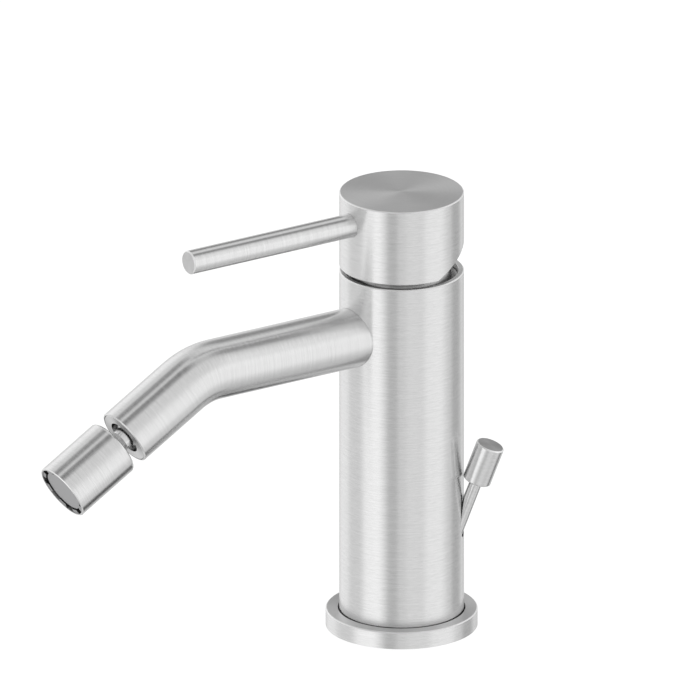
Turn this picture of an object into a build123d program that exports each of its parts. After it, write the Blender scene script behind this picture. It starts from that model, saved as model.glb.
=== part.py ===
from build123d import *
import os
from math import cos, radians, sin, sqrt, tan

# Single-lever bidet mixer, in millimetres. +Z is up, the spout points along -Y, and the origin is
# the centre of the column where it stands on the deck.

# Fits shared by every piece
FIT = 0.05            # radial clearance of a fixed or running fit
SLIP = 0.1            # clearance of a piece that slides or turns on a flat face
OVERRUN = 2.0         # how far a cutting tool runs past the face it cuts

# Column
COLUMN_D = 46.0
COLUMN_H = 138.8
COLUMN_WALL = 2.5
RIM_WALL = 2.1
RIM_DEPTH = 3.45      # from the column's top down to the dome's foot
EDGE = 0.4            # chamfer on the turned outer edges

# Base block, which closes the foot of the column
BLOCK_H = 25.0
INLET_X = 6.2
INLET_Y = -6.2
INLET_THREAD_R = 4.5
INLET_THREAD_DEPTH = 12.0
INLET_WAY_R = 3.0
STUD_X = -5.5
STUD_Y = 6.5
STUD_THREAD_R = 3.4
STUD_THREAD_DEPTH = 18.0

# Flange round the foot, with its gasket in a groove
FLANGE_W = 5.0        # how far the flange stands out from the column
FLANGE_H = 6.5
FLANGE_GAP = 0.5      # open ring between the flange and the column, seen from above
FLANGE_GAP_DEPTH = 2.5
GROOVE_START_SHARE = 0.27
GROOVE_WIDTH_SHARE = 0.4
GASKET_H = 2.4
GASKET_RECESS = 0.1

# Riser tubes from the base block to the seat block
RISER_R = 4.0
RISER_WALL = 1.0
RISER_SOCKET = 5.0

# Seat block, on which the cartridge stands
SEAT_H = 14.0
SEAT_SEAL_W = 1.6
SEAT_SEAL_DROP = 6.0
PEG_R = 1.4
PEG_L = 2.5
PEG_X = 9.5
PEG_Y = 10.5

# Cartridge
CARTRIDGE_H = 26.0
CARTRIDGE_R = 17.4
CARTRIDGE_FOOT_H = 6.0
CARTRIDGE_WALL = 2.2
CARTRIDGE_ROOF_T = 2.4
LIP_R = 20.3
LIP_DROP = 4.5
LIP_T = 2.3
SEAL_OUTER_R = 4.8
SEAL_INNER_R = 3.3
SEAL_H = 1.8
SEAL_PROUD = 0.2
FIXED_DISC_R = 14.8
FIXED_DISC_T = 3.4
INLET_PORT_R = 2.5
OUTLET_PORT_R = 3.3
OUTLET_PORT_Y = 4.4
OUTLET_FLOOR_T = 1.2
MOVING_DISC_R = 13.2
MOVING_DISC_T = 3.4
MOVING_DISC_Y = 1.7
MIXING_R = 6.0
MIXING_DEPTH = 1.6
SLIDER_R = 12.4
SLIDER_T = 5.9
SLIDER_SOCKET_R = 2.95
SLIDER_SOCKET_DEPTH = 4.8
CARRIER_R = 14.8
CARRIER_GAP = 0.6
CARRIER_NECK_R = 10.5
CARRIER_RISE = 3.5    # above the cartridge's roof
CARRIER_SLOT_X = 7.8
CARRIER_SLOT_Y = 15.0
PIN_R = 1.5
PIN_L = 20.0
STEM_BALL_R = 2.6
STEM_BALL_DROP = 9.0
STEM_NECK_R = 1.9
STEM_NECK_L = 3.4
STEM_LOWER_W = 6.6
STEM_LOWER_RISE = 8.0
STEM_UPPER_W = 7.5
STEM_COVER_T = 4.25   # metal of the cap above the stem

# Ring nut, chamber seal and dome above the cartridge
NUT_H = 4.9
NUT_BORE_R = 11.3
NUT_KEY_W = 4.0
NUT_KEY_DEPTH = 2.0
NUT_KEY_COUNT = 6
CHAMBER_SEAL_W = 2.9
CHAMBER_SEAL_H = 2.2
DOME_R = 19.6
DOME_T = 1.2
DOME_MOUTH_R = 12.0
DOME_FOOT_R = 20.6
DOME_FOOT_T = 1.1

# Handle cap
CAP_GAP = 1.75        # between the column's top and the cap
CAP_H = 28.7
CAP_WALL = 2.8
CAP_ROOF_T = 15.25
CAP_BEVEL_Y = 0.2
CAP_BEVEL_DEG = 27.8
STEM_SOCKET_PLAY = 0.05

# Lever
LEVER_D = 8.94
LEVER_BELOW_TOP = 8.75
LEVER_REACH = 94.5    # from the column's axis to the lever's end
LEVER_SEAT_DEPTH = 6.0
LEVER_THREAD_R = 2.95
LEVER_THREAD_L = 6.5
LEVER_EDGE = 0.45
GRUB_L = 6.0
GRUB_KEY_W = 2.5
GRUB_KEY_DEPTH = 2.6

# Spout
SPOUT_D = 22.3
SPOUT_WALL = 1.5
SPOUT_BELOW_RIM = 22.3
SPOUT_CORNER_Y = -90.5
SPOUT_DROP_DEG = 30.0
SPOUT_BEND_R = 28.0
SPOUT_TIP_L = 37.4
SPOUT_EDGE = 0.25
SPOUT_LIP_W = 0.6     # wall left around the socket's collar

# Swivel joint in the spout's end; depths run back from the spout's end face
BALL_R = 7.6
BALL_DEPTH = 7.0
BALL_PLAY = 0.1
BALL_MOUTH_R = 6.7
NECK_FOOT_R = 4.2
NECK_WAIST_R = 3.95
NECK_WAIST_L = 2.0
NECK_HEAD_R = 4.3
BALL_SPIGOT_R = 3.4
BALL_WAY_R = 2.2
SOCKET_L = 18.7
COLLAR_L = 1.5
COLLAR_SEAM = 0.15
COLLAR_EDGE = 0.2
BALL_SEAT_WAY_R = 4.5
BALL_SEAT_BACK = 15.0
BALL_SEAT_FRONT = 9.5
RETAINER_KEY_W = 2.0

# Nozzle
NOZZLE_D = 22.3
NOZZLE_GAP = 5.2
NOZZLE_L = 26.6
NOZZLE_WALL = 0.8
NOZZLE_BACK_T = 3.2
NOZZLE_BACK_ROUND = 1.3
NOZZLE_SHOULDER_R = 8.6
NOZZLE_SHOULDER_L = 9.0
NOZZLE_EDGE = 0.3
AERATOR_L = 8.5
AERATOR_WALL = 1.5
AERATOR_RECESS = 0.3
AERATOR_NOTCH_COUNT = 8
AERATOR_NOTCH_W = 3.9
AERATOR_NOTCH_DEPTH = 1.2
AERATOR_NOTCH_TURN_DEG = 31.0
SCREEN_RECESS = 0.8
SCREEN_T = 1.6
SCREEN_STEP = 0.35    # how much smaller the plate is in front, and how deep
SCREEN_STEP_DEPTH = 0.7
DIFFUSER_T = 1.6
DIFFUSER_GAP = 2.6
DIFFUSER_HOLE_R = 1.3
DIFFUSER_HOLE_COUNT = 6
DIFFUSER_RING_R = 6.2
AERATOR_GASKET_T = 1.6
AERATOR_GASKET_W = 3.0

# Pop-up waste control rod, which leaves the column halfway between its back and its +X side
ROD_D = 4.7
ROD_AZIMUTH_DEG = 45.0
ROD_LEAN_DEG = 20.1
ROD_EXIT_Z = 44.0
ROD_BOTTOM_Z = 2.0
ROD_HOLE_PLAY = 0.6
ROD_SHANK_L = 8.0
ROD_SHANK_STEP = 0.6  # how much thinner the shank is than the rod
KNOB_D = 10.6
KNOB_L = 15.3
KNOB_RISE = 14.9
KNOB_EDGE = 0.45
GUIDE_WALL = 1.2
GUIDE_FOOT_Z = 10.0

COLUMN_R = COLUMN_D / 2
CORE_R = COLUMN_R - COLUMN_WALL
BLOCK_R = CORE_R - FIT
SPOUT_R = SPOUT_D / 2
SPOUT_BORE_R = SPOUT_R - SPOUT_WALL
NOZZLE_R = NOZZLE_D / 2
LEVER_R = LEVER_D / 2
ROD_R = ROD_D / 2
KNOB_R = KNOB_D / 2
RISER_SEAT_R = RISER_R + FIT
FLANGE_BORE_R = COLUMN_R + FIT
GROOVE_INNER_R = FLANGE_BORE_R + FLANGE_W * GROOVE_START_SHARE
GROOVE_OUTER_R = GROOVE_INNER_R + FLANGE_W * GROOVE_WIDTH_SHARE

DOME_FOOT_Z = COLUMN_H - RIM_DEPTH
NUT_Z = DOME_FOOT_Z - NUT_H
CARTRIDGE_ROOF_Z = NUT_Z - FIT
PIVOT_Z = CARTRIDGE_ROOF_Z
LIP_Z = CARTRIDGE_ROOF_Z - LIP_DROP
CARRIER_TOP_Z = CARTRIDGE_ROOF_Z + CARRIER_RISE
STEM_LOWER_TOP_Z = PIVOT_Z + STEM_LOWER_RISE
SEAT_Z = CARTRIDGE_ROOF_Z - CARTRIDGE_H
FOOT_TOP_Z = SEAT_Z + CARTRIDGE_FOOT_H
MOVING_DISC_Z = FOOT_TOP_Z + FIXED_DISC_T + FIT
SLIDER_Z = MOVING_DISC_Z + MOVING_DISC_T
CARRIER_Z = SLIDER_Z + SLIDER_T + CARRIER_GAP

CAP_BOTTOM_Z = COLUMN_H + CAP_GAP
CAP_TOP_Z = CAP_BOTTOM_Z + CAP_H
CAP_CEILING_Z = CAP_TOP_Z - CAP_ROOF_T
STEM_TOP_Z = CAP_TOP_Z - STEM_COVER_T
LEVER_Z = CAP_TOP_Z - LEVER_BELOW_TOP
SPOUT_Z = COLUMN_H - SPOUT_BELOW_RIM

SPOUT_DROP = radians(SPOUT_DROP_DEG)
SPOUT_DIRECTION = Vector(0, -cos(SPOUT_DROP), -sin(SPOUT_DROP))
SPOUT_CORNER = Vector(0, SPOUT_CORNER_Y, SPOUT_Z)
SPOUT_END = Plane(origin=SPOUT_CORNER + SPOUT_DIRECTION * SPOUT_TIP_L, x_dir=(1, 0, 0), z_dir=SPOUT_DIRECTION)

ROD_LEAN = radians(ROD_LEAN_DEG)
ROD_AZIMUTH = radians(ROD_AZIMUTH_DEG)
ROD_OUTWARD = Vector(sin(ROD_AZIMUTH), cos(ROD_AZIMUTH), 0)
ROD_DIRECTION = ROD_OUTWARD * sin(ROD_LEAN) + Vector(0, 0, cos(ROD_LEAN))
ROD_EXIT = Plane(origin=ROD_OUTWARD * COLUMN_R + Vector(0, 0, ROD_EXIT_Z), z_dir=ROD_DIRECTION)


def turned(*outline):
    """Revolves a closed outline of (radius, height) points about Z."""
    return revolve(make_face(Plane.XZ * Polyline(*outline, close=True)), Axis.Z)


def ring(outer_r, inner_r, low, high):
    return turned((inner_r, low), (outer_r, low), (outer_r, high), (inner_r, high))


def disc(r, low, high):
    return extrude(Plane.XY.offset(low) * Circle(r), amount=high - low)


def rod_on(plane, r, start, end):
    """A round bar along a plane's normal, from start to end."""
    return extrude(plane.offset(start) * Circle(r), amount=end - start)


def mirrored_places(x, y):
    return [Pos(-x, y, 0), Pos(x, y, 0)]


def inlet_places():
    return mirrored_places(INLET_X, INLET_Y)


def rod_at_height(z):
    """Distance along the rod from its exit plane to height z."""
    return (z - ROD_EXIT_Z) / cos(ROD_LEAN)


def column_shell():
    rim_r = COLUMN_R - RIM_WALL
    shell = turned(
        (CORE_R, 0),
        (COLUMN_R, 0),
        (COLUMN_R, COLUMN_H - EDGE),
        (COLUMN_R - EDGE, COLUMN_H),
        (rim_r + EDGE / 2, COLUMN_H),
        (rim_r, COLUMN_H - EDGE / 2),
        (rim_r, DOME_FOOT_Z),
        (CORE_R, DOME_FOOT_Z),
    )
    spout_plane = Plane(origin=(0, 0, SPOUT_Z), z_dir=(0, -1, 0))
    spout_hole = rod_on(spout_plane, SPOUT_R + FIT, 0, COLUMN_R + OVERRUN)
    rod_hole = rod_on(ROD_EXIT, ROD_R + ROD_HOLE_PLAY, -COLUMN_R, COLUMN_R)
    return shell - spout_hole - rod_hole


def base_block():
    block = disc(BLOCK_R, 0, BLOCK_H)
    for place in inlet_places():
        block -= place * disc(INLET_THREAD_R, -OVERRUN, INLET_THREAD_DEPTH)
        block -= place * disc(INLET_WAY_R, 0, BLOCK_H + OVERRUN)
        block -= place * disc(RISER_SEAT_R, BLOCK_H - RISER_SOCKET, BLOCK_H + OVERRUN)
    block -= Pos(STUD_X, STUD_Y, 0) * disc(STUD_THREAD_R, -OVERRUN, STUD_THREAD_DEPTH)
    guide_r = ROD_R + FIT + GUIDE_WALL + FIT
    top = rod_at_height(BLOCK_H) + COLUMN_R
    block -= rod_on(ROD_EXIT, ROD_R + ROD_HOLE_PLAY, rod_at_height(-COLUMN_R), top)
    wide = rod_on(ROD_EXIT, guide_r, rod_at_height(-COLUMN_R), top)
    return block - (wide & disc(COLUMN_R, GUIDE_FOOT_Z, BLOCK_H + OVERRUN))


def rod_guide():
    outer_r = ROD_R + FIT + GUIDE_WALL
    top = rod_at_height(BLOCK_H) + COLUMN_R
    tube = rod_on(ROD_EXIT, outer_r, rod_at_height(-COLUMN_R), top)
    tube -= rod_on(ROD_EXIT, ROD_R + FIT, rod_at_height(-COLUMN_R), top)
    return tube & disc(COLUMN_R, GUIDE_FOOT_Z + FIT, BLOCK_H)


def base_flange():
    r = COLUMN_R + FLANGE_W
    flange = turned(
        (FLANGE_BORE_R, 0),
        (r, 0),
        (r, FLANGE_H - EDGE),
        (r - EDGE, FLANGE_H),
        (COLUMN_R + FLANGE_GAP, FLANGE_H),
        (COLUMN_R + FLANGE_GAP, FLANGE_H - FLANGE_GAP_DEPTH),
        (FLANGE_BORE_R, FLANGE_H - FLANGE_GAP_DEPTH),
    )
    return flange - ring(GROOVE_OUTER_R, GROOVE_INNER_R, -OVERRUN, GASKET_H)


def flange_gasket():
    return ring(GROOVE_OUTER_R - GASKET_RECESS, GROOVE_INNER_R + GASKET_RECESS, 0, GASKET_H)


def riser(place):
    low = BLOCK_H - RISER_SOCKET
    high = SEAT_Z - SEAT_H + RISER_SOCKET
    return place * ring(RISER_R, RISER_R - RISER_WALL, low, high)


def seat_block():
    foot_z = SEAT_Z - SEAT_H
    block = disc(BLOCK_R, foot_z, SEAT_Z)
    for place in inlet_places():
        block -= place * disc(INLET_WAY_R, foot_z, SEAT_Z + OVERRUN)
        block -= place * disc(RISER_SEAT_R, foot_z - OVERRUN, foot_z + RISER_SOCKET)
    for place in mirrored_places(PEG_X, PEG_Y):
        block -= place * disc(PEG_R + FIT, SEAT_Z - PEG_L - SLIP, SEAT_Z + OVERRUN)
    low = SEAT_Z - SEAT_SEAL_DROP
    groove_r = CORE_R - SEAT_SEAL_W - SLIP
    return block - ring(COLUMN_R, groove_r, low - SLIP, low + SEAT_SEAL_W + SLIP)


def seat_seal():
    low = SEAT_Z - SEAT_SEAL_DROP
    outer_r = CORE_R - FIT
    return ring(outer_r, outer_r - SEAT_SEAL_W, low, low + SEAT_SEAL_W)


def cartridge_foot():
    low = SEAT_Z + SEAL_PROUD
    foot = disc(CARTRIDGE_R, low, FOOT_TOP_Z)
    for place in inlet_places():
        foot -= place * disc(INLET_PORT_R, SEAT_Z, FOOT_TOP_Z + OVERRUN)
        foot -= place * disc(SEAL_OUTER_R + FIT, SEAT_Z, SEAT_Z + SEAL_H)
    for place in mirrored_places(PEG_X, PEG_Y):
        foot += place * disc(PEG_R, SEAT_Z - PEG_L, low + FIT)
    floor_z = low + OUTLET_FLOOR_T
    foot -= Pos(0, OUTLET_PORT_Y, 0) * disc(OUTLET_PORT_R, floor_z, FOOT_TOP_Z + OVERRUN)
    way_h = FOOT_TOP_Z - OUTLET_FLOOR_T - floor_z
    way = Pos(0, OUTLET_PORT_Y + CARTRIDGE_R / 2, floor_z + way_h / 2) * Box(OUTLET_PORT_R * 2, CARTRIDGE_R, way_h)
    return foot - way


def port_seals():
    return Compound(children=[p * ring(SEAL_OUTER_R, SEAL_INNER_R, SEAT_Z, SEAT_Z + SEAL_H) for p in inlet_places()])


def cartridge_housing():
    inner_r = CARTRIDGE_R - CARTRIDGE_WALL
    roof_low = CARTRIDGE_ROOF_Z - CARTRIDGE_ROOF_T
    mouth_r = CARRIER_NECK_R + FIT
    return turned(
        (inner_r, FOOT_TOP_Z),
        (CARTRIDGE_R, FOOT_TOP_Z),
        (CARTRIDGE_R, LIP_Z),
        (LIP_R, LIP_Z),
        (LIP_R, LIP_Z + LIP_T),
        (CARTRIDGE_R, LIP_Z + LIP_T),
        (CARTRIDGE_R, CARTRIDGE_ROOF_Z),
        (mouth_r, CARTRIDGE_ROOF_Z),
        (mouth_r, roof_low),
        (inner_r, roof_low),
    )


def fixed_disc():
    plate = disc(FIXED_DISC_R, FOOT_TOP_Z, FOOT_TOP_Z + FIXED_DISC_T)
    high = FOOT_TOP_Z + FIXED_DISC_T + OVERRUN
    for place in inlet_places():
        plate -= place * disc(INLET_PORT_R, FOOT_TOP_Z - OVERRUN, high)
    return plate - Pos(0, OUTLET_PORT_Y, 0) * disc(OUTLET_PORT_R, FOOT_TOP_Z - OVERRUN, high)


def moving_disc():
    plate = Pos(0, MOVING_DISC_Y, 0) * disc(MOVING_DISC_R, MOVING_DISC_Z, SLIDER_Z)
    return plate - disc(MIXING_R, MOVING_DISC_Z - OVERRUN, MOVING_DISC_Z + MIXING_DEPTH)


def disc_slider():
    top = SLIDER_Z + SLIDER_T
    body = Pos(0, MOVING_DISC_Y, 0) * disc(SLIDER_R, SLIDER_Z, top)
    return body - disc(SLIDER_SOCKET_R, top - SLIDER_SOCKET_DEPTH, top + OVERRUN)


def pin_bore(r, length):
    return rod_on(Plane(origin=(0, 0, PIVOT_Z), z_dir=(1, 0, 0)), r, -length / 2, length / 2)


def cartridge_carrier():
    flange_top = CARTRIDGE_ROOF_Z - CARTRIDGE_ROOF_T - SLIP
    carrier = turned(
        (0, CARRIER_Z),
        (CARRIER_R, CARRIER_Z),
        (CARRIER_R, flange_top),
        (CARRIER_NECK_R, flange_top),
        (CARRIER_NECK_R, CARRIER_TOP_Z),
        (0, CARRIER_TOP_Z),
    )
    slot_h = CARRIER_TOP_Z - CARRIER_Z + OVERRUN * 2
    slot = Pos(0, 0, (CARRIER_TOP_Z + CARRIER_Z) / 2) * Box(CARRIER_SLOT_X, CARRIER_SLOT_Y, slot_h)
    return carrier - slot - pin_bore(PIN_R + FIT, CARRIER_R * 2)


def stem_pin():
    return pin_bore(PIN_R, PIN_L)


def square_bar(width, low, high):
    return extrude(Plane.XY.offset(low) * Rectangle(width, width), amount=high - low)


def cartridge_stem():
    ball_z = PIVOT_Z - STEM_BALL_DROP
    neck_top = ball_z + STEM_NECK_L
    stem = Pos(0, 0, ball_z) * Sphere(STEM_BALL_R)
    stem += disc(STEM_NECK_R, ball_z, neck_top)
    stem += square_bar(STEM_LOWER_W, neck_top, STEM_LOWER_TOP_Z)
    upper = square_bar(STEM_UPPER_W, STEM_LOWER_TOP_Z, STEM_TOP_Z)
    top_edges = upper.faces().sort_by(Axis.Z)[-1].edges()
    return stem + chamfer(top_edges, EDGE) - pin_bore(PIN_R + FIT, STEM_UPPER_W * 2)


def ring_nut():
    nut = ring(CORE_R - FIT, NUT_BORE_R, NUT_Z, DOME_FOOT_Z)
    key_z = DOME_FOOT_Z - NUT_KEY_DEPTH / 2 + OVERRUN / 2
    key = Pos(NUT_BORE_R, 0, key_z) * Box(NUT_KEY_W, NUT_KEY_W, NUT_KEY_DEPTH + OVERRUN)
    for copy in PolarLocations(0, NUT_KEY_COUNT):
        nut -= copy * key
    return nut


def chamber_seal():
    low = LIP_Z + LIP_T
    inner_r = CARTRIDGE_R + FIT
    return ring(inner_r + CHAMBER_SEAL_W, inner_r, low, low + CHAMBER_SEAL_H)


def dome_cover():
    inner_r = DOME_R - DOME_T
    foot_rise = DOME_FOOT_Z - PIVOT_Z
    foot_top = foot_rise + DOME_FOOT_T
    dome = Sphere(DOME_R) - Sphere(inner_r)
    dome &= disc(DOME_R + OVERRUN, foot_rise, DOME_R + OVERRUN)
    dome += ring(DOME_FOOT_R, sqrt(DOME_R**2 - foot_top**2) - DOME_T / 2, foot_rise, foot_top)
    return Pos(0, 0, PIVOT_Z) * (dome - disc(DOME_MOUTH_R, -DOME_R, DOME_R + OVERRUN))


def handle_cap():
    inner_r = COLUMN_R - CAP_WALL
    cap = turned(
        (0, CAP_CEILING_Z),
        (inner_r, CAP_CEILING_Z),
        (inner_r, CAP_BOTTOM_Z),
        (COLUMN_R - EDGE, CAP_BOTTOM_Z),
        (COLUMN_R, CAP_BOTTOM_Z + EDGE),
        (COLUMN_R, CAP_TOP_Z - EDGE),
        (COLUMN_R - EDGE, CAP_TOP_Z),
        (0, CAP_TOP_Z),
    )
    reach = COLUMN_R + OVERRUN - CAP_BEVEL_Y
    rise = reach * tan(radians(CAP_BEVEL_DEG))
    bevel = Plane.YZ * Polyline(
        (CAP_BEVEL_Y, CAP_BOTTOM_Z),
        (CAP_BEVEL_Y, CAP_BOTTOM_Z - OVERRUN),
        (CAP_BEVEL_Y + reach, CAP_BOTTOM_Z - OVERRUN),
        (CAP_BEVEL_Y + reach, CAP_BOTTOM_Z + rise),
        close=True,
    )
    cap -= extrude(make_face(bevel), amount=COLUMN_R + OVERRUN, both=True)
    cap -= square_bar(STEM_UPPER_W + STEM_SOCKET_PLAY * 2, CAP_CEILING_Z - OVERRUN, STEM_TOP_Z + SLIP)
    lever_plane = Plane(origin=(0, 0, LEVER_Z), z_dir=(0, -1, 0))
    seat_y = COLUMN_R - LEVER_SEAT_DEPTH
    cap -= rod_on(lever_plane, LEVER_R + FIT, seat_y, COLUMN_R + OVERRUN)
    return cap - rod_on(lever_plane, LEVER_THREAD_R + FIT, 0, COLUMN_R)


def lever_rod():
    root = COLUMN_R - LEVER_SEAT_DEPTH + FIT
    bar = turned(
        (0, root - LEVER_THREAD_L),
        (LEVER_THREAD_R, root - LEVER_THREAD_L),
        (LEVER_THREAD_R, root),
        (LEVER_R, root),
        (LEVER_R, LEVER_REACH - LEVER_EDGE),
        (LEVER_R - LEVER_EDGE, LEVER_REACH),
        (0, LEVER_REACH),
    )
    return Plane(origin=(0, 0, LEVER_Z), z_dir=(0, -1, 0)) * bar


def grub_screw():
    tip = STEM_UPPER_W / 2
    end = tip + GRUB_L
    screw = disc(LEVER_THREAD_R, tip, end)
    key = RegularPolygon(GRUB_KEY_W / 2, 6, major_radius=False)
    screw -= extrude(Plane.XY.offset(end - GRUB_KEY_DEPTH) * key, amount=GRUB_KEY_DEPTH + OVERRUN)
    return Plane(origin=(0, 0, LEVER_Z), z_dir=(0, -1, 0)) * screw


def spout_tube():
    start = Vector(0, 0, SPOUT_Z)
    end = SPOUT_END.origin
    path = FilletPolyline(start, SPOUT_CORNER, end, radius=SPOUT_BEND_R)
    section = Plane(origin=start, z_dir=(0, -1, 0))
    tube = sweep(section * (Circle(SPOUT_R) - Circle(SPOUT_BORE_R)), path=path)
    tube -= disc(CORE_R, SPOUT_Z - SPOUT_D, SPOUT_Z + SPOUT_D)
    lip = turned(
        (SPOUT_R - SPOUT_EDGE, 0),
        (SPOUT_R + SPOUT_EDGE, 0),
        (SPOUT_R + SPOUT_EDGE, -SPOUT_EDGE * 2),
    )
    return tube - SPOUT_END * lip - SPOUT_END * disc(SPOUT_R - SPOUT_LIP_W, -COLLAR_L, OVERRUN)


def swivel_socket():
    cavity_r = BALL_R + BALL_PLAY
    collar_r = SPOUT_R - SPOUT_LIP_W - COLLAR_SEAM
    body = turned(
        (0, -SOCKET_L),
        (SPOUT_BORE_R - FIT, -SOCKET_L),
        (SPOUT_BORE_R - FIT, -COLLAR_L),
        (collar_r, -COLLAR_L),
        (collar_r, -COLLAR_EDGE),
        (collar_r - COLLAR_EDGE, 0),
        (0, 0),
    )
    body -= Pos(0, 0, -BALL_DEPTH) * Sphere(cavity_r)
    body -= disc(cavity_r, -SOCKET_L - OVERRUN, -BALL_DEPTH)
    body -= disc(BALL_MOUTH_R, -BALL_DEPTH, OVERRUN)
    return SPOUT_END * body


def ball_seat():
    seat = ring(BALL_R, BALL_SEAT_WAY_R, -BALL_SEAT_BACK, -BALL_SEAT_FRONT)
    return SPOUT_END * (seat - Pos(0, 0, -BALL_DEPTH) * Sphere(BALL_R + BALL_PLAY))


def seat_retainer():
    back = -SOCKET_L
    nut = ring(BALL_R + FIT, BALL_SEAT_WAY_R, back, -BALL_SEAT_BACK - SLIP)
    slot = Pos(0, 0, back) * Box(BALL_R * 3, RETAINER_KEY_W, RETAINER_KEY_W)
    return SPOUT_END * (nut - slot)


def swivel_ball():
    ball = Pos(0, 0, -BALL_DEPTH) * Sphere(BALL_R)
    ball += turned(
        (0, -BALL_DEPTH),
        (NECK_FOOT_R, -BALL_DEPTH),
        (NECK_FOOT_R, 0),
        (NECK_WAIST_R, NECK_WAIST_L),
        (NECK_HEAD_R, NOZZLE_GAP),
        (BALL_SPIGOT_R, NOZZLE_GAP),
        (BALL_SPIGOT_R, NOZZLE_GAP + NOZZLE_BACK_T),
        (0, NOZZLE_GAP + NOZZLE_BACK_T),
    )
    return SPOUT_END * (ball - disc(BALL_WAY_R, -BALL_DEPTH - BALL_R, NOZZLE_GAP + NOZZLE_BACK_T))


def nozzle_shell():
    front = NOZZLE_GAP + NOZZLE_L
    shoulder = front - AERATOR_RECESS - AERATOR_L - AERATOR_GASKET_T
    back = NOZZLE_GAP + NOZZLE_BACK_T
    bore_r = NOZZLE_R - NOZZLE_WALL
    hole_r = BALL_SPIGOT_R + FIT
    shell = turned(
        (hole_r, NOZZLE_GAP),
        (NOZZLE_R, NOZZLE_GAP),
        (NOZZLE_R, front - NOZZLE_EDGE),
        (NOZZLE_R - NOZZLE_EDGE, front),
        (bore_r, front),
        (bore_r, shoulder),
        (NOZZLE_SHOULDER_R, shoulder),
        (NOZZLE_SHOULDER_R, back),
        (hole_r, back),
    )
    back_edge = shell.edges().filter_by(GeomType.CIRCLE).group_by(Axis.Z)[0].sort_by(SortBy.RADIUS)[-1]
    return SPOUT_END * fillet(back_edge, NOZZLE_BACK_ROUND)


def aerator_housing():
    front = NOZZLE_GAP + NOZZLE_L - AERATOR_RECESS
    outer_r = NOZZLE_R - NOZZLE_WALL - FIT
    inner_r = outer_r - AERATOR_WALL
    housing = ring(outer_r, inner_r, front - AERATOR_L, front)
    notch_z = front - AERATOR_NOTCH_DEPTH / 2 + OVERRUN / 2
    notch_place = Pos(outer_r - AERATOR_WALL / 2, 0, notch_z)
    notch = notch_place * Box(AERATOR_WALL * 2, AERATOR_NOTCH_W, AERATOR_NOTCH_DEPTH + OVERRUN)
    for copy in PolarLocations(0, AERATOR_NOTCH_COUNT, start_angle=AERATOR_NOTCH_TURN_DEG):
        housing -= copy * notch
    return SPOUT_END * housing


def aerator_core_r():
    return NOZZLE_R - NOZZLE_WALL - FIT - AERATOR_WALL - FIT


def aerator_screen():
    front = NOZZLE_GAP + NOZZLE_L - SCREEN_RECESS
    plate = disc(aerator_core_r(), front - SCREEN_T, front - SCREEN_STEP_DEPTH)
    return SPOUT_END * (plate + disc(aerator_core_r() - SCREEN_STEP, front - SCREEN_T, front))


def flow_diffuser():
    front = NOZZLE_GAP + NOZZLE_L - SCREEN_RECESS - SCREEN_T - DIFFUSER_GAP
    rim = ring(aerator_core_r(), aerator_core_r() - AERATOR_WALL, front, front + DIFFUSER_GAP - SLIP)
    plate = disc(aerator_core_r(), front - DIFFUSER_T, front) + rim
    hole = disc(DIFFUSER_HOLE_R, front - DIFFUSER_T - OVERRUN, front + OVERRUN)
    for copy in PolarLocations(DIFFUSER_RING_R, DIFFUSER_HOLE_COUNT):
        plate -= copy * hole
    return SPOUT_END * plate


def aerator_gasket():
    high = NOZZLE_GAP + NOZZLE_L - AERATOR_RECESS - AERATOR_L
    outer_r = NOZZLE_R - NOZZLE_WALL - FIT
    return SPOUT_END * ring(outer_r, outer_r - AERATOR_GASKET_W, high - AERATOR_GASKET_T, high)


def popup_rod():
    bar = rod_on(ROD_EXIT, ROD_R, rod_at_height(ROD_BOTTOM_Z), KNOB_RISE)
    return bar + rod_on(ROD_EXIT, ROD_R - ROD_SHANK_STEP, KNOB_RISE, KNOB_RISE + ROD_SHANK_L)


def popup_knob():
    shank_r = ROD_R - ROD_SHANK_STEP + FIT
    bore_top = KNOB_RISE + ROD_SHANK_L + SLIP
    top = KNOB_RISE + KNOB_L
    knob = turned(
        (0, bore_top),
        (shank_r, bore_top),
        (shank_r, KNOB_RISE),
        (KNOB_R - KNOB_EDGE, KNOB_RISE),
        (KNOB_R, KNOB_RISE + KNOB_EDGE),
        (KNOB_R, top - KNOB_EDGE),
        (KNOB_R - KNOB_EDGE, top),
        (0, top),
    )
    return ROD_EXIT * knob


def pieces():
    hot_place, cold_place = inlet_places()
    return {
        "column_shell": column_shell(),
        "base_block": base_block(),
        "base_flange": base_flange(),
        "flange_gasket": flange_gasket(),
        "hot_riser": riser(hot_place),
        "cold_riser": riser(cold_place),
        "seat_block": seat_block(),
        "seat_seal": seat_seal(),
        "cartridge_foot": cartridge_foot(),
        "port_seals": port_seals(),
        "cartridge_housing": cartridge_housing(),
        "fixed_disc": fixed_disc(),
        "moving_disc": moving_disc(),
        "disc_slider": disc_slider(),
        "cartridge_carrier": cartridge_carrier(),
        "stem_pin": stem_pin(),
        "cartridge_stem": cartridge_stem(),
        "ring_nut": ring_nut(),
        "chamber_seal": chamber_seal(),
        "dome_cover": dome_cover(),
        "handle_cap": handle_cap(),
        "lever_rod": lever_rod(),
        "grub_screw": grub_screw(),
        "spout_tube": spout_tube(),
        "swivel_socket": swivel_socket(),
        "ball_seat": ball_seat(),
        "seat_retainer": seat_retainer(),
        "swivel_ball": swivel_ball(),
        "nozzle_shell": nozzle_shell(),
        "aerator_housing": aerator_housing(),
        "aerator_screen": aerator_screen(),
        "flow_diffuser": flow_diffuser(),
        "aerator_gasket": aerator_gasket(),
        "rod_guide": rod_guide(),
        "popup_rod": popup_rod(),
        "popup_knob": popup_knob(),
    }


os.makedirs("parts", exist_ok=True)
for name, piece in pieces().items():
    export_step(piece, f"parts/{name}.step")
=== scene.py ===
import math

import bpy
from mathutils import Matrix, Vector


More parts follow.
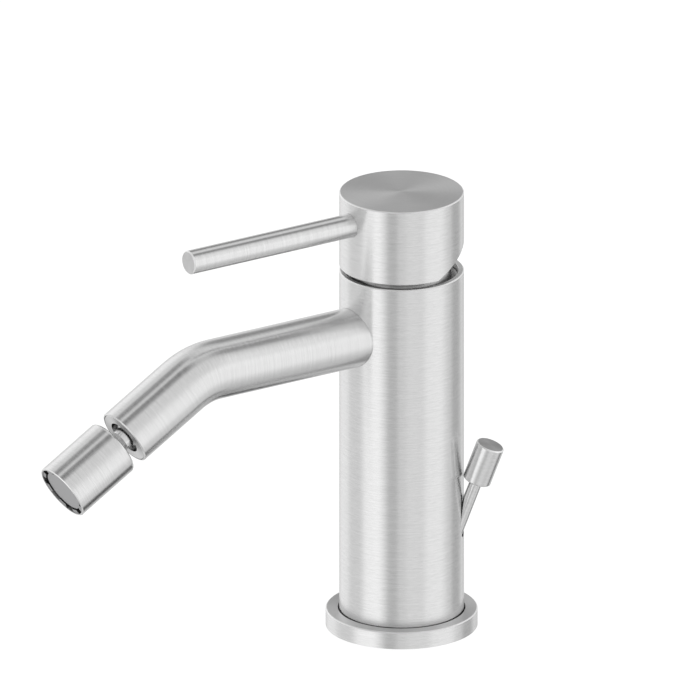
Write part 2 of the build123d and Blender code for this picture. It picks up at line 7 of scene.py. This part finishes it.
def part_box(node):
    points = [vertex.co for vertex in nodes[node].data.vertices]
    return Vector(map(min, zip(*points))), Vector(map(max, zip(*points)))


# Single-lever bidet mixer. Lengths are in metres, in the frame of the solid model: +Z is up, the
# spout and the lever point along -Y, and the origin is under the column, on the deck.
MM = 0.001

# The photograph's view, without perspective: its scale, and where the column's foot is in it
IMAGE_SIDE_PX = 700
PX_PER_MM = 2.717
COLUMN_FOOT_PX = (401.6, 623.2)
VIEW_AZIMUTH = math.radians(56.2)
VIEW_ELEVATION = math.radians(20.1)
CAMERA_DISTANCE = 1.2

# Places that the finishes follow, the same as in the solid model. The outlet's fronts are
# measured from the spout's end, along its last leg.
SPOUT_HEIGHT = 116.5 * MM
SPOUT_CORNER_Y = -90.5 * MM
SPOUT_BEND_RADIUS = 28.0 * MM
SPOUT_DROP = math.radians(30.0)
SPOUT_LAST_LEG = 37.4 * MM
OUTLET_RING_FRONT = 31.5 * MM
OUTLET_PLATE_FRONT = 31.0 * MM
LEVER_HEIGHT = 160.5 * MM
ROD_LEAN = math.radians(20.1)
ROD_AZIMUTH = math.radians(45.0)

UP = Vector((0, 0, 1))
LEVER_DIRECTION = Vector((0, -1, 0))
SPOUT_DIRECTION = Vector((0, -math.cos(SPOUT_DROP), -math.sin(SPOUT_DROP)))
SPOUT_CORNER = Vector((0, SPOUT_CORNER_Y, SPOUT_HEIGHT))
SPOUT_END = SPOUT_CORNER + SPOUT_DIRECTION * SPOUT_LAST_LEG
ROD_DIRECTION = Vector(
    (
        math.sin(ROD_AZIMUTH) * math.sin(ROD_LEAN),
        math.cos(ROD_AZIMUTH) * math.sin(ROD_LEAN),
        math.cos(ROD_LEAN),
    )
)

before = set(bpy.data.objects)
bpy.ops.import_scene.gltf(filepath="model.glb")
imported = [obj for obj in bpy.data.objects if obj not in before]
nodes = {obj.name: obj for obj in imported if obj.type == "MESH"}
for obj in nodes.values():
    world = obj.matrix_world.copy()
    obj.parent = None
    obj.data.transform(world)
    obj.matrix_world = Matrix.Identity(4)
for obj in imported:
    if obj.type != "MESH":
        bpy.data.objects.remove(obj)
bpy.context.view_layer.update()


# Sockets of the mix node when it mixes colours
MIX_FIRST_COLOR = 6
MIX_SECOND_COLOR = 7
MIX_RESULT = 2


class Graph:
    """A short way to add shader nodes and join them."""

    def __init__(self, tree):
        self.tree = tree

    def find(self, kind):
        return next(node for node in self.tree.nodes if node.type == kind)

    def join(self, value, socket):
        if isinstance(value, bpy.types.NodeSocket):
            self.tree.links.new(value, socket)
        else:
            socket.default_value = value

    def node(self, kind, inputs=(), output=0, **settings):
        made = self.tree.nodes.new(kind)
        for key, value in settings.items():
            setattr(made, key, value)
        for key, value in dict(inputs).items():
            self.join(value, made.inputs[key])
        return made.outputs[output]

    def math(self, operation, *values):
        return self.node("ShaderNodeMath", dict(enumerate(values)), operation=operation)

    def vector(self, operation, *values):
        inputs = dict(enumerate(values))
        if operation == "SCALE":
            inputs = dict(zip((0, "Scale"), values))
        output = "Value" if operation in ("DOT_PRODUCT", "LENGTH") else 0
        return self.node("ShaderNodeVectorMath", inputs, output, operation=operation)

    def combine(self, x, y, z):
        return self.node("ShaderNodeCombineXYZ", {0: x, 1: y, 2: z})

    def parts(self, value):
        made = self.tree.nodes.new("ShaderNodeSeparateXYZ")
        self.join(value, made.inputs[0])
        return made.outputs

    def coordinate(self, name):
        return self.node("ShaderNodeTexCoord", output=name)

    def noise(self, place, scale, grain):
        detail, roughness = grain
        inputs = {"Vector": place, "Scale": scale, "Detail": detail, "Roughness": roughness}
        return self.node("ShaderNodeTexNoise", inputs)

    def remap(self, value, low, high, to_low, to_high, kind="LINEAR"):
        limits = {"From Min": low, "From Max": high, "To Min": to_low, "To Max": to_high}
        return self.node("ShaderNodeMapRange", {"Value": value, **limits}, interpolation_type=kind)

    def mix(self, factor, a, b):
        inputs = {"Factor": factor, MIX_FIRST_COLOR: a, MIX_SECOND_COLOR: b}
        return self.node("ShaderNodeMix", inputs, MIX_RESULT, data_type="RGBA", blend_type="MIX")

    def bump(self, strength, height):
        inputs = {"Strength": strength, "Distance": SURFACE_DEPTH, "Height": height}
        return self.node("ShaderNodeBump", inputs)


def new_material(name):
    material = bpy.data.materials.new(name)
    material.use_nodes = True
    graph = Graph(material.node_tree)
    return material, graph, graph.find("BSDF_PRINCIPLED")


def grey(level):
    return (level, level, level, 1.0)


WHITE = grey(1.0)

# Cosines of the angle between a face's normal and an axis, from where the face starts to count
# as square to the axis to where it fully does
END_FACE_STARTS = 0.9
END_FACE_FULL = 0.99


def end_face(graph, axis):
    """One on faces square to an axis, zero on faces along it."""
    slant = graph.math("ABSOLUTE", graph.vector("DOT_PRODUCT", graph.coordinate("Normal"), axis))
    return graph.remap(slant, END_FACE_STARTS, END_FACE_FULL, 0.0, 1.0)


def straight_run(graph, origin, axis):
    """Across an axis, along it plus away from it, around it, and where a face is square to it."""
    from_axis = graph.vector("SUBTRACT", graph.coordinate("Object"), origin)
    along = graph.vector("DOT_PRODUCT", from_axis, axis)
    radial = graph.vector("SUBTRACT", from_axis, graph.vector("SCALE", axis, along))
    distance = graph.vector("LENGTH", radial)
    around = graph.vector("CROSS_PRODUCT", axis, radial)
    return radial, graph.math("ADD", along, distance), around, end_face(graph, axis)


def spout_run(graph):
    """The same for the spout, whose axis follows the bend. Its narrow end counts as a side."""
    position = graph.coordinate("Object")
    x, y, z = graph.parts(position)
    bend_y = SPOUT_CORNER_Y + SPOUT_BEND_RADIUS * math.tan(SPOUT_DROP / 2)
    bend_z = SPOUT_HEIGHT - SPOUT_BEND_RADIUS
    past_y = graph.math("SUBTRACT", bend_y, y)
    before = graph.math("MINIMUM", past_y, 0.0)
    turn = graph.math("ARCTAN2", past_y, graph.math("SUBTRACT", z, bend_z))
    turn = graph.math("MINIMUM", graph.math("MAXIMUM", turn, 0.0), SPOUT_DROP)
    in_bend = graph.math("MULTIPLY", turn, SPOUT_BEND_RADIUS)
    out_of_bend = Vector((0, -math.sin(SPOUT_DROP), math.cos(SPOUT_DROP))) * SPOUT_BEND_RADIUS
    bend_end = Vector((0, bend_y, bend_z)) + out_of_bend
    from_bend = graph.vector("SUBTRACT", position, bend_end)
    after = graph.math("MAXIMUM", graph.vector("DOT_PRODUCT", from_bend, SPOUT_DIRECTION), 0.0)
    along = graph.math("ADD", graph.math("ADD", before, in_bend), after)
    forward = graph.math("MULTIPLY", graph.math("COSINE", turn), -1.0)
    upward = graph.math("MULTIPLY", graph.math("SINE", turn), -1.0)
    axis = graph.combine(0.0, forward, upward)
    around = graph.vector("CROSS_PRODUCT", axis, graph.coordinate("Normal"))
    return graph.combine(x, 0.0, z), along, around, 0.0


def around_z(graph):
    return straight_run(graph, Vector((0, 0, 0)), UP)


def around_lever(graph):
    return straight_run(graph, Vector((0, 0, LEVER_HEIGHT)), LEVER_DIRECTION)


def around_nozzle(graph):
    return straight_run(graph, SPOUT_CORNER, SPOUT_DIRECTION)


def around_rod(graph):
    low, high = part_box("popup_knob")
    return straight_run(graph, (low + high) / 2, ROD_DIRECTION)


# Detail and roughness of the noise, the values that most of it lies between, and the depth of
# the relief that it makes
SHARP_GRAIN = (3.0, 0.6)
SOFT_GRAIN = (3.0, 0.5)
CLOUDY_GRAIN = (2.0, 0.5)
NOISE_LOW = 0.3
NOISE_HIGH = 0.7
SURFACE_DEPTH = 0.05 * MM

# Brushed lines, fine and broad ones together: how many noise patches a metre holds across the
# lines and along them, and the share of the fine ones
FINE_ACROSS = 3600.0
FINE_ALONG = 420.0
BROAD_ACROSS = 1800.0
BROAD_ALONG = 90.0
FINE_SHARE = 0.6

# Brushed steel: its brightness, and how far the lines change the brightness and the roughness
STEEL_LEVEL = 0.76
STEEL_STREAK = 0.065
STEEL_ROUGHNESS = 0.25
ROUGHNESS_STREAK = 0.08
LINE_BUMP = 0.09
ANISOTROPY = 0.8
QUARTER_TURN = 0.25

# Faces square to the axis: darker by painted shade and cloudy, blurrier, with fainter lines
END_PAINTED_SHADE = 0.86
END_CLOUD = 0.04
END_CLOUDS_PER_METRE = 45.0
END_BLUR = 0.16
END_LINES_SHARE = 0.4


def brush_lines(graph, across, along):
    """Noise drawn out into lines, from -1 to 1."""
    x, y = graph.parts(graph.vector("SCALE", across, FINE_ALONG))[:2]
    fine_place = graph.combine(x, y, graph.math("MULTIPLY", along, FINE_ACROSS))
    x, y = graph.parts(graph.vector("SCALE", across, BROAD_ALONG))[:2]
    broad_place = graph.combine(y, x, graph.math("MULTIPLY", along, BROAD_ACROSS))
    fine = graph.math("MULTIPLY", graph.noise(fine_place, 1.0, SHARP_GRAIN), FINE_SHARE)
    broad = graph.math("MULTIPLY", graph.noise(broad_place, 1.0, SOFT_GRAIN), 1.0 - FINE_SHARE)
    return graph.remap(graph.math("ADD", fine, broad), NOISE_LOW, NOISE_HIGH, -1.0, 1.0)


def brushed(name, run, roughness=STEEL_ROUGHNESS, end_painted_shade=END_PAINTED_SHADE):
    """Steel with fine lines that run around an axis, fainter on the faces square to it, which painted
    shade darkens.
    """
    material, graph, shader = new_material(name)
    across, along, around, end = run(graph)
    strength = graph.remap(end, 0.0, 1.0, 1.0, END_LINES_SHARE)
    lines = graph.math("MULTIPLY", brush_lines(graph, across, along), strength)
    shade = graph.remap(lines, -1.0, 1.0, 0.0, 1.0)
    color = graph.mix(shade, grey(STEEL_LEVEL - STEEL_STREAK), grey(STEEL_LEVEL + STEEL_STREAK))
    # Painted shade: faces square to the axis are darkened to the end level, with random clouds around it
    clouds = graph.noise(across, END_CLOUDS_PER_METRE, CLOUDY_GRAIN)
    clouds = graph.remap(clouds, NOISE_LOW, NOISE_HIGH, end_painted_shade - END_CLOUD, end_painted_shade + END_CLOUD)
    color = graph.vector("MULTIPLY", color, graph.mix(end, WHITE, clouds))
    rough = graph.remap(end, 0.0, 1.0, roughness, roughness + END_BLUR)
    streak = graph.remap(lines, -1.0, 1.0, 1.0 - ROUGHNESS_STREAK, 1.0 + ROUGHNESS_STREAK)
    tangent = graph.node(
        "ShaderNodeVectorTransform",
        {"Vector": around},
        vector_type="VECTOR",
        convert_from="OBJECT",
        convert_to="WORLD",
    )
    shader.inputs["Metallic"].default_value = 1.0
    shader.inputs["Anisotropic"].default_value = ANISOTROPY
    shader.inputs["Anisotropic Rotation"].default_value = QUARTER_TURN
    graph.join(color, shader.inputs["Base Color"])
    graph.join(graph.math("MULTIPLY", rough, streak), shader.inputs["Roughness"])
    graph.join(tangent, shader.inputs["Tangent"])
    graph.join(graph.bump(LINE_BUMP, shade), shader.inputs["Normal"])
    return material


# Plain finishes: colour, roughness, and whether it is metal. The edge and bore steels are lighter than
# the brushed steel, as painted highlights, and the shaded and mouth steels and the outlet shadow are
# painted shade
METAL = 1.0
NOT_METAL = 0.0
PLAIN_FINISHES = {
    "edge_highlight_steel": (grey(0.95), 0.45, METAL),
    "bore_highlight_steel": (grey(0.85), 0.3, METAL),
    "shaded_steel": (grey(0.10), 0.4, METAL),
    "mouth_shade_steel": (grey(0.5), 0.18, METAL),
    "polished_steel": (grey(0.75), 0.14, METAL),
    "pin_steel": (grey(0.7), 0.15, METAL),
    "screw_steel": (grey(0.3), 0.35, METAL),
    "machined_brass": ((0.78, 0.60, 0.32, 1.0), 0.3, METAL),
    "nickel_brass": ((0.70, 0.65, 0.52, 1.0), 0.25, METAL),
    "copper_tube": ((0.80, 0.48, 0.34, 1.0), 0.3, METAL),
    "outlet_shadow": (grey(0.012), 0.5, NOT_METAL),
    "outlet_ring": ((0.34, 0.34, 0.345, 1.0), 0.4, NOT_METAL),
    "outlet_plate": ((0.42, 0.42, 0.425, 1.0), 0.5, NOT_METAL),
    "diffuser_plastic": ((0.16, 0.16, 0.165, 1.0), 0.35, NOT_METAL),
    "white_plastic": ((0.82, 0.82, 0.80, 1.0), 0.45, NOT_METAL),
    "dark_plastic": ((0.05, 0.05, 0.055, 1.0), 0.45, NOT_METAL),
    "ceramic": ((0.88, 0.87, 0.84, 1.0), 0.2, NOT_METAL),
    "black_rubber": (grey(0.02), 0.6, NOT_METAL),
}

# The even grain of plain finishes: how fine it is, how dark its dark specks are, and how far it
# changes the roughness
SPECKS_PER_METRE = 900.0
SPECK_SHADE = 0.94
SPECK_ROUGHNESS = 0.1
SPECK_BUMP = 0.08


def plain(name):
    """A moulded or machined surface with a fine even grain."""
    color, roughness, metallic = PLAIN_FINISHES[name]
    material, graph, shader = new_material(name)
    speck = graph.noise(graph.coordinate("Object"), SPECKS_PER_METRE, SHARP_GRAIN)
    dark = (*(level * SPECK_SHADE for level in color[:3]), 1.0)
    smooth = roughness * (1.0 - SPECK_ROUGHNESS)
    rough = roughness * (1.0 + SPECK_ROUGHNESS)
    shader.inputs["Metallic"].default_value = metallic
    graph.join(graph.mix(speck, dark, color), shader.inputs["Base Color"])
    graph.join(graph.remap(speck, NOISE_LOW, NOISE_HIGH, smooth, rough), shader.inputs["Roughness"])
    graph.join(graph.bump(SPECK_BUMP, speck), shader.inputs["Normal"])
    return material


# The dome's painted shade, its brightness at its foot and top; how far specks change it, and its
# roughness
DOME_FOOT_LEVEL = 0.12
DOME_TOP_LEVEL = 1.0
DOME_SPECK = 0.02
DOME_SMOOTH = 0.22
DOME_ROUGH = 0.28


def dome_painted_shade():
    """Smooth steel with painted shade that darkens it towards the groove at its foot."""
    material, graph, shader = new_material("dome_painted_shade")
    position = graph.coordinate("Object")
    low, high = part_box("dome_cover")
    rise = graph.remap(graph.parts(position)["Z"], low.z, high.z, 0.0, 1.0)
    speck = graph.noise(position, SPECKS_PER_METRE, SHARP_GRAIN)
    shade = graph.math("ADD", rise, graph.remap(speck, 0.0, 1.0, -DOME_SPECK, DOME_SPECK))
    color = graph.mix(shade, grey(DOME_FOOT_LEVEL), grey(DOME_TOP_LEVEL))
    rough = graph.remap(speck, NOISE_LOW, NOISE_HIGH, DOME_SMOOTH, DOME_ROUGH)
    shader.inputs["Metallic"].default_value = 1.0
    graph.join(color, shader.inputs["Base Color"])
    graph.join(rough, shader.inputs["Roughness"])
    return material


# Tests that choose faces: the cosines between which a face is a narrow sloping edge, the cosine
# below which a face looks inwards, and how far from its place a face may lie
EDGE_LOW = 0.6
EDGE_HIGH = 0.8
FACING_IN = -0.5
FACE_TOLERANCE = 0.1 * MM


def on_edge(axis):
    """Chooses the narrow sloping faces between a turned side and its end."""
    return lambda face: EDGE_LOW < abs(face.normal.dot(axis)) < EDGE_HIGH


def facing_in(face):
    """Chooses the faces that look towards the column's axis."""
    outward = Vector((face.center.x, face.center.y, 0)).normalized()
    return face.normal.dot(outward) < FACING_IN


def behind(depth):
    """Chooses the faces that lie behind a place along the spout's last leg."""
    return lambda face: (face.center - SPOUT_END).dot(SPOUT_DIRECTION) < depth - FACE_TOLERANCE


def dress(names, material, others=()):
    """Gives nodes a material, and others to the faces that their test chooses."""
    for name in names:
        mesh = nodes[name].data
        mesh.materials.clear()
        mesh.materials.append(material)
        for face in mesh.polygons:
            face.material_index = 0
        for index, (chosen, other) in enumerate(others, start=1):
            mesh.materials.append(other)
            for face in mesh.polygons:
                if chosen(face):
                    face.material_index = index


# The lever, the rod and the socket are smoother than the wide pieces, and the knob's top gets darker
# painted shade than other end faces
LEVER_ROUGHNESS = 0.22
NARROW_ROUGHNESS = 0.2
KNOB_END_PAINTED_SHADE = 0.6


def dress_outside(edge):
    edge_z = (on_edge(UP), edge)
    # Painted highlight: the column's inward faces get steel lighter than its brushed outside
    bore = (facing_in, plain("bore_highlight_steel"))
    shaded = (facing_in, plain("shaded_steel"))
    dress(["column_shell"], brushed("column_steel", around_z), [bore, edge_z])
    dress(["handle_cap"], brushed("cap_steel", around_z), [shaded, edge_z])
    dress(["base_flange"], brushed("flange_steel", around_z), [shaded, edge_z])
    dress(["dome_cover"], dome_painted_shade())
    lever = brushed("lever_steel", around_lever, LEVER_ROUGHNESS)
    dress(["lever_rod"], lever, [(on_edge(LEVER_DIRECTION), edge)])
    dress(["popup_rod"], brushed("rod_steel", around_rod, NARROW_ROUGHNESS))
    knob = brushed("knob_steel", around_rod, end_painted_shade=KNOB_END_PAINTED_SHADE)
    dress(["popup_knob"], knob, [(on_edge(ROD_DIRECTION), edge)])


def dress_spout(edge):
    dress(["spout_tube"], brushed("spout_steel", spout_run))
    # Painted shade: faces inside the spout's mouth, on the socket and the ball, get darker steel
    in_mouth = (behind(0.0), plain("mouth_shade_steel"))
    dress(["swivel_socket"], brushed("socket_steel", around_nozzle, NARROW_ROUGHNESS), [in_mouth])
    dress(["swivel_ball"], plain("polished_steel"), [in_mouth])
    nozzle = brushed("nozzle_steel", around_nozzle)
    dress(["nozzle_shell"], nozzle, [(on_edge(SPOUT_DIRECTION), edge)])


def dress_outlet():
    shadow = plain("outlet_shadow")
    dress(["aerator_housing"], plain("outlet_ring"), [(behind(OUTLET_RING_FRONT), shadow)])
    dress(["aerator_screen"], plain("outlet_plate"), [(behind(OUTLET_PLATE_FRONT), shadow)])
    dress(["flow_diffuser"], plain("diffuser_plastic"))


def dress_inside():
    inside = {
        "machined_brass": ["base_block", "seat_block", "ring_nut", "seat_retainer"],
        "nickel_brass": ["cartridge_stem"],
        "copper_tube": ["hot_riser", "cold_riser"],
        "pin_steel": ["stem_pin"],
        "screw_steel": ["grub_screw"],
        "white_plastic": ["cartridge_housing", "cartridge_foot", "disc_slider", "ball_seat", "rod_guide"],
        "dark_plastic": ["cartridge_carrier"],
        "ceramic": ["fixed_disc", "moving_disc"],
        "black_rubber": ["port_seals", "seat_seal", "chamber_seal", "flange_gasket", "aerator_gasket"],
    }
    for finish, names in inside.items():
        dress(names, plain(finish))


# The floor lies just under the mixer, and most of its brightness is its own glow
FLOOR_SIDE = 8.0
FLOOR_Z = -0.2 * MM
FLOOR_LEVEL = 0.32
FLOOR_ROUGHNESS = 0.9
FLOOR_GLOW = 0.84


def floor():
    """A pale floor, clear from below so that the mixer's underside can be seen."""
    bpy.ops.mesh.primitive_plane_add(size=FLOOR_SIDE, location=(0, 0, FLOOR_Z))
    ground = bpy.context.object
    ground.name = "floor"
    material, graph, shader = new_material("pale_floor")
    shader.inputs["Base Color"].default_value = grey(FLOOR_LEVEL)
    shader.inputs["Roughness"].default_value = FLOOR_ROUGHNESS
    shader.inputs["Specular IOR Level"].default_value = 0.0
    shader.inputs["Emission Color"].default_value = WHITE
    shader.inputs["Emission Strength"].default_value = FLOOR_GLOW
    below = graph.node("ShaderNodeNewGeometry", output="Backfacing")
    clear = graph.node("ShaderNodeBsdfTransparent")
    shown = graph.node("ShaderNodeMixShader", {0: below, 1: shader.outputs[0], 2: clear})
    graph.join(shown, graph.find("OUTPUT_MATERIAL").inputs["Surface"])
    ground.data.materials.append(material)
    ground.visible_glossy = False
    ground.visible_diffuse = False


# Soft boxes that brighten the light all round and flags that darken it, seen from the camera:
# degrees to its right, degrees above the level, half the width and half the height in degrees,
# and the change of brightness, in steps of 0.05. Each has its full strength over a share of its
# size and fades out from there, and together they leave nothing below the darkest light.
BASE_LIGHT = 0.78
DARKEST_LIGHT = 0.02
PANEL_CORE_SHARE = 0.35
PANELS = {
    "tall box on the left": (-56, -8, 30, 60, 0.35),
    "brighter middle of the box on the left": (-42, 2, 16, 22, 0.15),
    "flag above the box on the left": (-60, 34, 26, 22, -0.20),
    "tall box, left and behind": (-134, -12, 28, 50, 0.20),
    "high box, left and behind": (-150, 26, 24, 24, 0.25),
    "flag just left of the camera": (-17, -14, 14, 58, -0.20),
    "faint box just right of the camera": (22, -12, 20, 56, 0.10),
    "wide box on the right": (64, -2, 34, 40, 0.30),
    "high box on the right": (95, 26, 30, 22, 0.35),
    "low flag, right and behind": (122, -36, 22, 30, -0.40),
    "lowest flag, right and behind": (140, -56, 50, 20, -0.75),
    "high flag, right and behind": (114, 58, 30, 14, -0.60),
    "high flag behind": (174, 30, 18, 20, -0.55),
    "faint flag behind": (162, -20, 16, 16, -0.10),
    "flag overhead in front": (-8, 72, 50, 15, -0.75),
    "flag overhead, left and behind": (-110, 68, 50, 13, -0.60),
    "flag below in front": (30, -62, 60, 24, -0.45),
    "flag below, left and behind": (-120, -60, 80, 24, -0.20),
}


def near(graph, angle, half):
    """One where an angle is small, fading to zero where it is half of a panel's size."""
    away = graph.math("ABSOLUTE", angle)
    return graph.remap(away, half * PANEL_CORE_SHARE, half, 1.0, 0.0, "SMOOTHSTEP")


def world_light():
    world = bpy.data.worlds.new("studio")
    bpy.context.scene.world = world
    world.use_nodes = True
    graph = Graph(world.node_tree)
    x, y, z = graph.parts(graph.vector("NORMALIZE", graph.coordinate("Generated")))
    x_ahead = graph.math("MULTIPLY", x, math.sin(VIEW_AZIMUTH))
    y_ahead = graph.math("MULTIPLY", y, math.cos(VIEW_AZIMUTH))
    x_right = graph.math("MULTIPLY", x, math.cos(VIEW_AZIMUTH))
    y_right = graph.math("MULTIPLY", y, math.sin(VIEW_AZIMUTH))
    ahead = graph.math("SUBTRACT", x_ahead, y_ahead)
    right = graph.math("ADD", x_right, y_right)
    bearing = graph.math("ARCTAN2", right, ahead)
    height = graph.math("ARCSINE", z)
    light = BASE_LIGHT
    for side, rise, half_width, half_height, change in PANELS.values():
        turn = graph.math("SUBTRACT", bearing, math.radians(side))
        turn = graph.math("WRAP", turn, math.pi, -math.pi)
        lift = graph.math("SUBTRACT", height, math.radians(rise))
        wide = near(graph, turn, math.radians(half_width))
        high = near(graph, lift, math.radians(half_height))
        panel = graph.math("MULTIPLY", graph.math("MULTIPLY", wide, high), change)
        light = graph.math("ADD", light, panel)
    background = graph.find("BACKGROUND")
    background.inputs["Color"].default_value = WHITE
    graph.join(graph.math("MAXIMUM", light, DARKEST_LIGHT), background.inputs["Strength"])


def camera():
    to_camera = Vector(
        (
            math.sin(VIEW_AZIMUTH) * math.cos(VIEW_ELEVATION),
            -math.cos(VIEW_AZIMUTH) * math.cos(VIEW_ELEVATION),
            math.sin(VIEW_ELEVATION),
        )
    )
    right = Vector((math.cos(VIEW_AZIMUTH), math.sin(VIEW_AZIMUTH), 0))
    up = to_camera.cross(right)
    px = MM / PX_PER_MM
    middle = IMAGE_SIDE_PX / 2
    aim = right * (middle - COLUMN_FOOT_PX[0]) * px + up * (COLUMN_FOOT_PX[1] - middle) * px
    data = bpy.data.cameras.new("camera")
    data.type = "ORTHO"
    data.ortho_scale = IMAGE_SIDE_PX * px
    made = bpy.data.objects.new("camera", data)
    bpy.context.scene.collection.objects.link(made)
    turn = Matrix((right, up, to_camera)).transposed().to_4x4()
    made.matrix_world = Matrix.Translation(aim + to_camera * CAMERA_DISTANCE) @ turn
    bpy.context.scene.camera = made


# The chamfers' steel is lighter than the brushed steel: a painted highlight along the edges
edge_highlight_steel = plain("edge_highlight_steel")
dress_outside(edge_highlight_steel)
dress_spout(edge_highlight_steel)
dress_outlet()
dress_inside()
floor()
world_light()
camera()
bpy.context.scene.view_settings.view_transform = "Standard"
